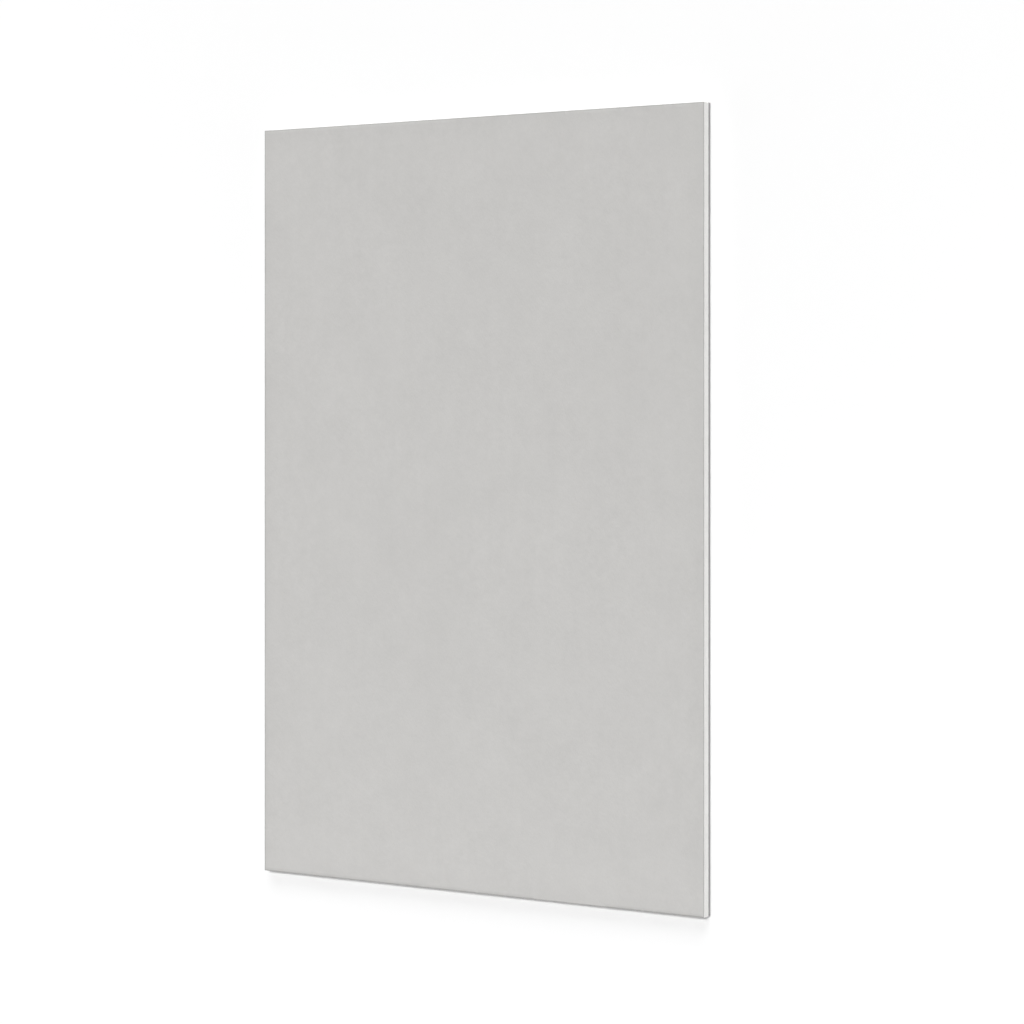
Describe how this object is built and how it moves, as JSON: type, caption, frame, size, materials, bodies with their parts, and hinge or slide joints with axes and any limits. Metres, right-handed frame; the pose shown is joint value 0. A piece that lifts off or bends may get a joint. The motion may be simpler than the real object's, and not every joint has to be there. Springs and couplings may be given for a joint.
{
  "type": "drywall sheet",
  "caption": "Flat rectangular sheet of drywall: a pale gypsum core, bare at its cut edges, between a grey facing paper and a darker backing paper that laps up the long edges.",
  "frame": {"origin": "centre of the sheet's back, on the floor it lies on", "axes": "+Z out of the face, along the thickness; +Y along the length; +X across the width"},
  "size_m": [0.61, 0.914, 0.0159],
  "materials": {
    "face_paper": "matte grey facing paper with a faint fibre mottle",
    "gypsum": "matte, chalky, sawn",
    "back_paper": "matte recycled backing paper, darker than the face"
  },
  "bodies": {
    "root": {"face_paper": "face_paper", "gypsum_core": "gypsum", "back_paper": "back_paper"}
  },
  "joints": []
}
